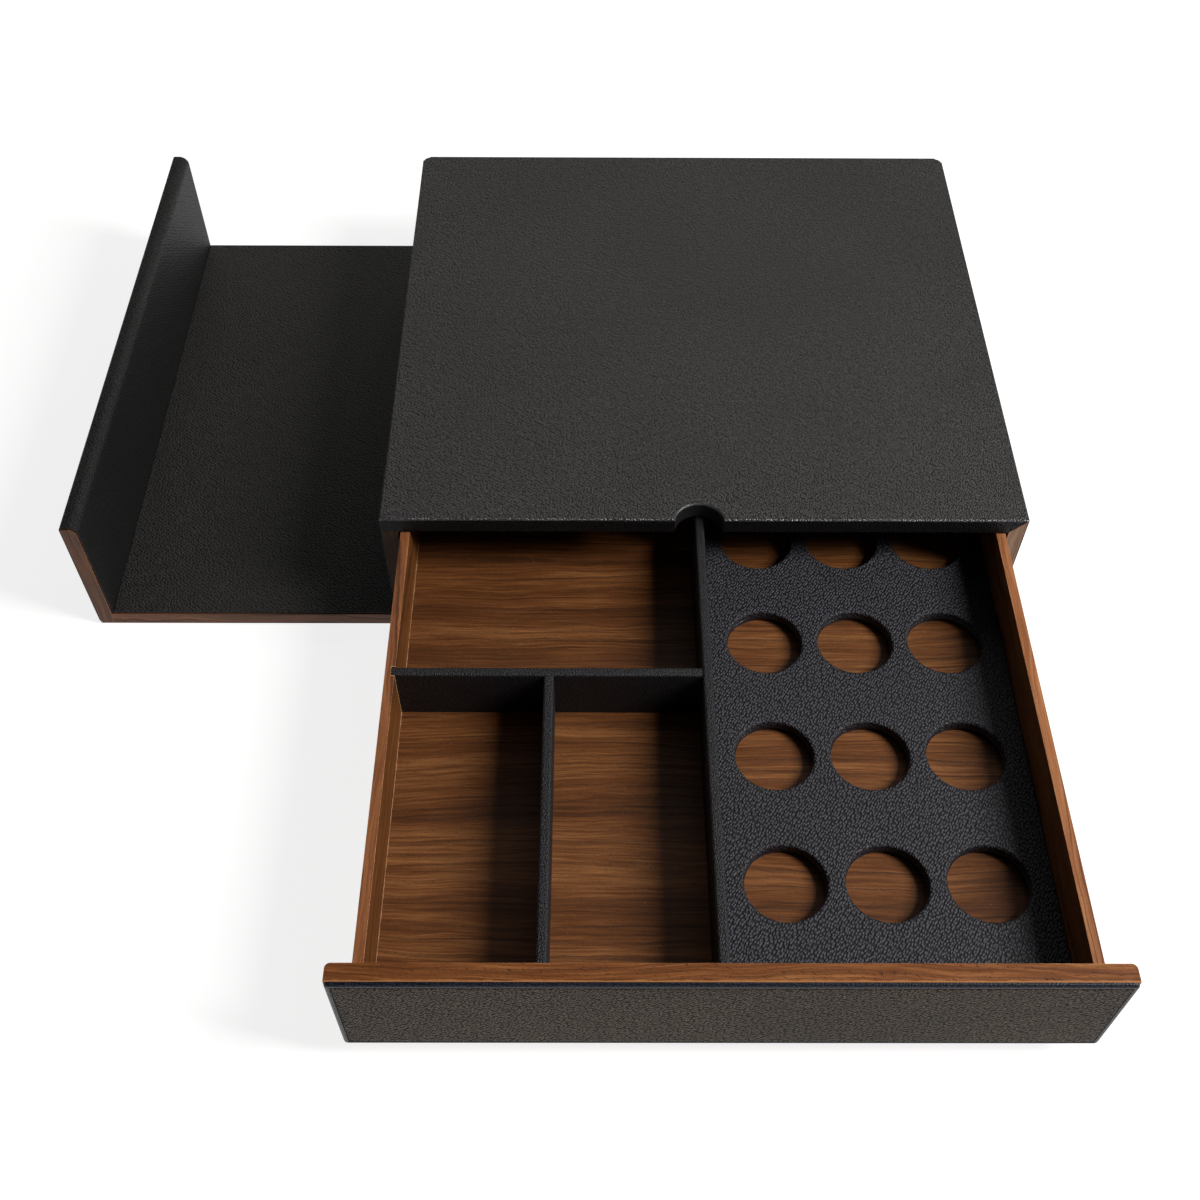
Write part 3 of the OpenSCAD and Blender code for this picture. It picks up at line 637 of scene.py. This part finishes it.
def case_wrap():
    """The case's leather: one skin over the top and the walls, turned in over the front and the notch."""
    (left, front, _), (right, back, top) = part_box("case_top_leather")
    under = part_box("case_top_panel")[0].z
    in_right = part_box("case_right_side")[0].x
    low_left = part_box("case_left_leather")[0].z
    low_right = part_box("case_right_leather")[0].z
    notch = (NOTCH_X, front - NOTCH_SET)

    def plan(inset, reach):
        r = CORNER_R - inset
        edge = [(left + inset, front - reach), (right - inset, front - reach)]
        edge += arc((right - CORNER_R, back - CORNER_R), r, 0, 90, 8)
        edge += arc((left + CORNER_R, back - CORNER_R), r, 90, 180, 8)
        return edge

    bm = prism(plan(0, 0), low_right, top)
    at_top = [e for e in bm.edges if all(abs(v.co.z - top) < TINY for v in e.verts)]
    upright = [e for e in bm.edges if abs(e.verts[0].co.z - e.verts[1].co.z) > 0.01
               and abs(e.verts[0].co.y - front) < TINY]
    bmesh.ops.bevel(bm, geom=at_top + upright, offset=ARRIS_R, segments=5, profile=0.5, affect="EDGES",
                    clamp_overlap=True)
    skin = cut_away(to_mesh(bm), notch_cutter(notch, low_right - SKIN, top))

    # the hollow under the skin stops short of the front, where the leather is turned in
    hollow = to_mesh(prism(plan(SKIN, FAR_PAST), low_right - PAST, top - SKIN))
    turned_in = [(left - SKIN, under), (in_right, under), (right, top), (right, top + SKIN),
                 (left - SKIN, top + SKIN)]
    hollow = cut_away(hollow, to_mesh(prism(turned_in, front - 30 * MM, front + SKIN, "Y")))
    tube = circle(notch, NOTCH_R + SKIN, 56)
    hollow = cut_away(hollow, to_mesh(prism(tube, under, top + SKIN)))
    skin = cut_away(skin, hollow)

    # the left and back walls end higher than the right one, and nothing stands before the opening
    over_tray = [(left - SKIN, front - PAST), (right - CORNER_R, front - PAST),
                 (right - CORNER_R, back + SKIN), (left - SKIN, back + SKIN)]
    skin = cut_away(skin, to_mesh(prism(over_tray, low_right - SKIN, low_left)))
    before = [(left - SKIN, front - PAST), (right + SKIN, front - PAST), (right + SKIN, front),
              (left - SKIN, front)]
    skin = cut_away(skin, to_mesh(prism(before, 0, under)))
    wrap = add_piece("case_wrap", skin, "case", "case_leather", WRAP_LOOKS, "case_top_leather",
                     "case_left_leather", "case_right_leather", "case_back_leather", sharp=30)
    for face in wrap.data.polygons:
        face.material_index = WRAP_LOOKS.index(wrap_look(face, notch, front, under))


def wrap_look(face, notch, front, under):
    """The look of one face of the wrap, by where it lies and the way it faces."""
    in_notch = (face.center.xy - Vector(notch)).length < NOTCH_R + ARRIS_R and under < face.center.z
    # inside the notch, the upward rim takes the painted highlight and the walls the painted shade
    if in_notch and face.normal.z < 0.99:
        return "notch_rim_painted_highlight" if face.normal.z > 0.2 else "notch_leather_painted_shade"
    if face.normal.y < -0.2 and face.normal.z > 0.2 and face.center.y < front + 2 * MM:
        return "case_arris"
    # faces that look forward take the darker copy, a painted shade
    return "lip_leather_painted_shade" if face.normal.y < -0.7 else "case_leather"


def notch_cutter(notch, low, top):
    """A round cutter that flares at its top, so that the leather rolls over the notch's rim."""
    flare = [(NOTCH_R + ARRIS_R - u, top - ARRIS_R + w) for u, w in arc((0, 0), ARRIS_R, 0, 90, 5)]
    bm = bmesh.new()
    rows = [ring_of(bm, [(x, y, z) for x, y in circle(notch, r, 72)])
            for r, z in [(NOTCH_R, low)] + flare + [(NOTCH_R + ARRIS_R, top + SKIN)]]
    skin_rows(bm, rows)
    close_ends(bm, rows)
    return to_mesh(bm)


# ---------------------------------------------------------------- drawer front

FACING_R = 2.2 * MM
FACING_T = 2.0
# inset and height in mm: the rolled edge, the sewn channel, and the face up to its middle
RIM = [(0.0, 0.0), (0.0, 0.5), (0.1, 0.85), (0.36, 1.28), (0.8, 1.62), (1.3, 1.84), (1.75, 1.88),
       (1.95, 1.8), (2.25, 1.86)]
CHANNEL = [(2.5, 1.72), (2.65, 1.56), (2.7, 1.5), (2.75, 1.56), (2.9, 1.72)]
FACE = [(3.2, 1.87), (3.8, 1.94), (5.5, 1.98), (9.0, 2.0)]
STITCH_IN = 2.7 * MM
STITCH_DEPTH = 0.7 * MM
STITCH_PITCH = 4.0 * MM
STITCH_LEN = 2.9 * MM
STITCH_PARTS = 6
THREAD_R = 0.5 * MM
THREAD_SIDES = 7


def front_facing():
    """The raised leather panel, with a rolled edge and a sewn channel inside it."""
    (x0, front, z0), (x1, back, z1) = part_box("drawer_front_facing")
    high = back - front

    def outline(inset):
        r = max(FACING_R - inset, 0.3 * MM)
        return round_rect((x0 + inset, z0 + inset), (x1 - inset, z1 - inset), r)

    bm = bmesh.new()
    rows = [ring_of(bm, [(u, back - h / FACING_T * high, v) for u, v in outline(inset * MM)])
            for inset, h in RIM + CHANNEL + FACE]
    channel_from = len(RIM)
    channel_to = len(RIM + CHANNEL)
    # the rolled edge carries a painted highlight and the sewn channel a painted shade
    skin_rows(bm, rows[:channel_from + 1], look=1)
    skin_rows(bm, rows[channel_from:channel_to], look=2)
    skin_rows(bm, rows[channel_to - 1:])
    close_ends(bm, rows)
    # the face's warm colour is a painted reflection
    add_piece("front_facing", to_mesh(bm), "drawer", "facing_leather",
              ["facing_leather", "rim_leather_painted_highlight", "seam_leather_painted_shade"], "drawer_front_facing")
    sewn = [(x0 + STITCH_IN, z0 + STITCH_IN), (x1 - STITCH_IN, z0 + STITCH_IN),
            (x1 - STITCH_IN, z1 - STITCH_IN), (x0 + STITCH_IN, z1 - STITCH_IN)]
    corners = [Vector((x, front + STITCH_DEPTH, z)) for x, z in sewn]
    bm = bmesh.new()
    for start, end in zip(corners, corners[1:] + corners[:1]):
        stitch_row(bm, start, end)
    add_piece("front_stitches", to_mesh(bm), "drawer", "thread", ["thread"])


def stitch_row(bm, start, end):
    """Saddle stitches in a straight row: each is a short thread that dips into the leather at both ends."""
    rise = Vector((0, -1, 0))
    run = end - start
    count = int((run.length - STITCH_PITCH * 0.6) / STITCH_PITCH)
    along = run.normalized()
    side = along.cross(rise)
    first = start + along * (run.length - (count - 1) * STITCH_PITCH) / 2
    turns = [math.tau * j / THREAD_SIDES for j in range(THREAD_SIDES)]
    for i in range(count):
        middle = first + along * i * STITCH_PITCH
        rows = []
        for k in range(STITCH_PARTS + 1):
            t = k / STITCH_PARTS * 2 - 1
            lean = side * t * 0.12 * MM
            centre = middle + along * t * STITCH_LEN / 2 + rise * (0.2 - 0.35 * t * t) * MM + lean
            thick = THREAD_R * (1 - 0.55 * t ** 6)
            ring = [centre + (side * math.cos(a) + rise * math.sin(a)) * thick for a in turns]
            rows.append(ring_of(bm, ring))
        skin_rows(bm, rows)
        close_ends(bm, rows)


# ---------------------------------------------------------------- dividers

FOLD_R = 1.3 * MM
FOLD_STEP = 7 * MM
FOLD_SLACK = 0.985


def divider(name, node, axis, seed):
    """The leather folded over a divider, drawn out along an axis in lengths that waver a little."""
    low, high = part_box(node)
    side, run = (0, 1) if axis == "Y" else (1, 0)
    middle = (low[side] + high[side]) / 2
    half = (high[side] - low[side]) / 2
    top = high.z
    outline = [(-half, low.z)]
    outline += arc((-half + FOLD_R, top - FOLD_R), FOLD_R, 180, 90, 5)
    outline += arc((half - FOLD_R, top - FOLD_R), FOLD_R, 90, 0, 5)
    outline += [(half, low.z), (half - SKIN, low.z), (half - SKIN, top - SKIN),
                (-half + SKIN, top - SKIN), (-half + SKIN, low.z)]
    rng = random.Random(seed)
    count = max(2, round((high[run] - low[run]) / FOLD_STEP))
    bm = bmesh.new()
    rows = []
    for i in range(count + 1):
        at = low[run] + (high[run] - low[run]) * i / count
        inner = 0 < i < count
        sway = rng.uniform(-0.06, 0.06) * MM if inner else 0.0
        dip = rng.uniform(-0.12, 0.0) * MM if inner else 0.0
        points = []
        for u, z in outline:
            across = middle + u * FOLD_SLACK + sway
            height = z + (dip if z > top - 0.5 * MM else 0.0)
            points.append((across, at, height) if axis == "Y" else (at, across, height))
        rows.append(ring_of(bm, points))
    skin_rows(bm, rows)
    close_ends(bm, rows)
    add_piece(name, to_mesh(bm), "drawer", "inner_leather", ["fold_leather"], node)


# ---------------------------------------------------------------- pod plate

POD_R = 19.7 * MM
POD_COLUMNS = (-48.2 * MM, 0.0, 48.2 * MM)
POD_ROWS = 4
POD_FIRST = 55.3 * MM
POD_PITCH = 70.5 * MM
POD_STEPS = 56
# the wall of a recess from the top down, as mm outwards and mm under the plate's top
POD_ROLL = [(1.7, 0.0), (1.1, -0.08), (0.6, -0.3), (0.2, -0.7), (0.0, -1.3)]
POD_WALL = [(0.0, -3.9), (-0.1, -4.02), (-0.34, -4.2), (-0.42, -4.5), (-0.3, -4.8), (0.0, -4.95),
            (0.3, -5.05), (0.42, -5.3)]


def pod_plate():
    """The plate's leather: a flat sheet that rolls over into each recess and ends in a painted edge."""
    low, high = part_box("pod_plate_leather")
    top, sheet, foot = high.z, high.z - SKIN, low.z + 0.05 * MM
    middle = (low.x + high.x) / 2
    bm = bmesh.new()
    edges_top, edges_sheet = [], []
    for column in POD_COLUMNS:
        for row in range(POD_ROWS):
            centre = (middle + column, low.y + POD_FIRST + row * POD_PITCH)
            rim, under = pod_recess(bm, centre, top, sheet, foot)
            edges_top += rim
            edges_sheet += under
    border = [(0.0, sheet), (0.0, top - 0.55 * MM), (0.16 * MM, top - 0.2 * MM), (0.5 * MM, top)]
    rows = [ring_of(bm, [(x, y, z) for x, y in inset_rect(low, high, 1.5 * MM, inset)])
            for inset, z in border]
    skin_rows(bm, rows)
    edges_sheet += loop_edges(bm, rows[0])
    edges_top += loop_edges(bm, rows[-1])
    for edges, up in ((edges_top, 1), (edges_sheet, -1)):
        bmesh.ops.triangle_fill(bm, use_beauty=True, use_dissolve=False, edges=edges, normal=(0, 0, up))
    add_piece("pod_plate_skin", to_mesh(bm), "drawer", "inner_leather", ["plate_leather", "edge_paint"],
              "pod_plate_leather", sharp=50)


def pod_recess(bm, centre, top, sheet, foot):
    """One recess. It gives the edges where it joins the sheet's upper and lower faces."""
    def ring(r, z):
        return ring_of(bm, [(x, y, z) for x, y in circle(centre, r, POD_STEPS)])

    rows = [ring(POD_R + dr * MM, top + dz * MM) for dr, dz in POD_ROLL + POD_WALL]
    rows.append(ring(POD_R + 0.42 * MM, foot))
    painted_from = len(POD_ROLL)
    skin_rows(bm, rows[:painted_from + 1])
    skin_rows(bm, rows[painted_from:], look=1)
    outer = [ring(POD_R + 0.98 * MM, foot), ring(POD_R + 0.98 * MM, sheet)]
    skin_rows(bm, [rows[-1]] + outer, look=1)
    return loop_edges(bm, rows[0]), loop_edges(bm, outer[1])


def loop_edges(bm, ring):
    """The edges that join a ring's points."""
    pairs = zip(ring, ring[1:] + ring[:1])
    return [bm.edges.get(pair) or bm.edges.new(pair) for pair in pairs]


# ---------------------------------------------------------------- tray


def tray_floor_skin():
    """The leather on the tray's floor, soft at its edges."""
    low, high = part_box("tray_floor_leather")
    thick = high.z - low.z
    border = [(0.0, 0.0), (0.0, 0.45), (0.14, 0.78), (0.45, 1.0)]
    bm = bmesh.new()
    rows = []
    for inset, share in border:
        outline = inset_rect(low, high, 1.2 * MM, inset * MM)
        rows.append(ring_of(bm, [(x, y, low.z + share * thick) for x, y in outline]))
    skin_rows(bm, rows)
    close_ends(bm, rows)
    add_piece("tray_floor_skin", to_mesh(bm), "tray", "tray_leather", ["tray_leather"], "tray_floor_leather")


# ---------------------------------------------------------------- small marks of the making


def bar(bm, low, high):
    """A thin block between two corners."""
    plan = ((low[0], low[1]), (high[0], low[1]), (high[0], high[1]), (low[0], high[1]))
    rows = [ring_of(bm, [(x, y, z) for x, y in plan]) for z in (low[2], high[2])]
    close_ends(bm, rows)
    skin_rows(bm, rows)


def housing_edges():
    """The raw edges of the housing that takes the cross divider."""
    low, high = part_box("cross_divider_leather")
    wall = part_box("drawer_left_side")[1].x
    thin = 0.35 * MM
    bm = bmesh.new()
    for y in (low.y - thin, high.y):
        bar(bm, (wall - 0.3 * MM, y, low.z + 0.1 * MM), (wall + 0.12 * MM, y + thin, high.z + 0.02 * MM))
        bar(bm, (low.x, y, high.z - 0.2 * MM), (wall, y + thin, high.z + 0.03 * MM))
    add_piece("housing_edges", to_mesh(bm), "drawer", "walnut", ["raw_wood"])


GLUE_STEPS = 120


def glue_line():
    """A thin uneven bead of glue where the left side meets the floor."""
    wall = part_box("drawer_left_side")[1].x
    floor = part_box("drawer_floor")[1].z
    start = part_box("drawer_front_board")[1].y
    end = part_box("drawer_back")[0].y
    rng = random.Random(7)
    count = GLUE_STEPS
    bm = bmesh.new()
    rows = []
    for i in range(count + 1):
        y = start + (end - start) * i / count
        w = rng.uniform(0.15, 0.42) * MM
        rows.append(ring_of(bm, [(wall, y, floor), (wall + w, y, floor), (wall, y, floor + w)]))
    skin_rows(bm, rows)
    close_ends(bm, rows)
    add_piece("glue_line", to_mesh(bm), "drawer", "walnut", ["glue"], sharp=80)


# ---------------------------------------------------------------- camera, floor and light

CAMERA_AT = Vector((-58.765, -660.2, 654.78)) * MM
CAMERA_DOWN = math.radians(52.18)
CAMERA_YAW = math.radians(0.3534)
CAMERA_ROLL = math.radians(0.403)
CAMERA_LENS = 42.36
FLOOR_REACH = 6
WALL_R = 5.8
WALL_H = 1.5
SKY_COLOUR = (0.9, 0.95, 1.0, 1)
SKY_STRENGTH = 0.03


def camera():
    """The photograph's own view."""
    ahead = Vector((math.sin(CAMERA_YAW) * math.cos(CAMERA_DOWN),
                    math.cos(CAMERA_YAW) * math.cos(CAMERA_DOWN),
                    -math.sin(CAMERA_DOWN)))
    flat = Vector((math.cos(CAMERA_YAW), -math.sin(CAMERA_YAW), 0))
    up = flat.cross(ahead)
    right = flat * math.cos(CAMERA_ROLL) + up * math.sin(CAMERA_ROLL)
    top = up * math.cos(CAMERA_ROLL) - flat * math.sin(CAMERA_ROLL)
    data = bpy.data.cameras.new("camera")
    data.lens = CAMERA_LENS
    data.sensor_width = 36
    obj = bpy.data.objects.new("camera", data)
    obj.matrix_world = Matrix.Translation(CAMERA_AT) @ Matrix((right, top, -ahead)).transposed().to_4x4()
    bpy.context.scene.collection.objects.link(obj)
    bpy.context.scene.camera = obj


def softbox(name, at, aim, size, power, colour):
    """A large soft light at a place, aimed at a point."""
    data = bpy.data.lights.new(name, "AREA")
    data.shape = "RECTANGLE"
    data.size, data.size_y = size
    data.energy = power
    data.color = colour
    obj = bpy.data.objects.new(name, data)
    obj.location = at
    obj.rotation_mode = "QUATERNION"
    obj.rotation_quaternion = (Vector(aim) - Vector(at)).to_track_quat("-Z", "Y")
    bpy.context.scene.collection.objects.link(obj)


def stage_piece(name, bm, look, cloud, dark, light, glow):
    """A pale part of the studio that glows a little, with a faint cloudiness in its colour."""
    s = Shader(look)
    clouds = s.noise(s.place(), cloud, 2)
    s.set(base_color=s.blend(clouds, grey(dark), grey(light)), roughness=0.9)
    s.set(emission_color=grey(1), emission_strength=glow)
    mesh = to_mesh(bm)
    mesh.materials.append(s.material)
    obj = bpy.data.objects.new(name, mesh)
    bpy.context.scene.collection.objects.link(obj)


def studio():
    """A pale floor, a low wall far off, a large light in front on the right and two softer ones."""
    far = FLOOR_REACH
    ground = prism([(-far, -far), (far, -far), (far, far), (-far, far)], -0.02, -0.0002)
    stage_piece("studio_floor", ground, "pale_floor", 3, 0.32, 0.36, 0.82)
    wall = bmesh.new()
    skin_rows(wall, [ring_of(wall, [(x, y, z) for x, y in circle((0, 0), WALL_R, 72)])
                     for z in (-0.001, WALL_H)])
    stage_piece("studio_wall", wall, "pale_wall", 2, 0.3, 0.34, 0.4)
    softbox("key", (1.23, -0.55, 1.27), (0, -0.2, 0), (0.5, 0.8), 44, (1.0, 0.98, 0.96))
    softbox("overhead", (0.55, 1.0, 2.0), (0.1, 0, 0), (1.7, 1.8), 2.2, (0.94, 0.97, 1.0))
    softbox("back", (-0.1, 2.3, 1.5), (-0.1, 0.1, 0), (1.8, 0.9), 9.5, (1.0, 0.94, 0.88))
    world = bpy.data.worlds.new("studio")
    world.use_nodes = True
    world.node_tree.nodes["Background"].inputs[0].default_value = SKY_COLOUR
    world.node_tree.nodes["Background"].inputs[1].default_value = SKY_STRENGTH
    bpy.context.scene.world = world
    bpy.context.scene.view_settings.view_transform = "Standard"


make_leathers()
make_woods()
make_other_looks()
camera()
studio()
finish_nodes()
case_wrap()
front_facing()
divider("long_divider_skin", "long_divider_leather", "Y", seed=1)
divider("cross_divider_skin", "cross_divider_leather", "X", seed=2)
divider("short_divider_skin", "short_divider_leather", "Y", seed=3)
pod_plate()
tray_floor_skin()
housing_edges()
glue_line()
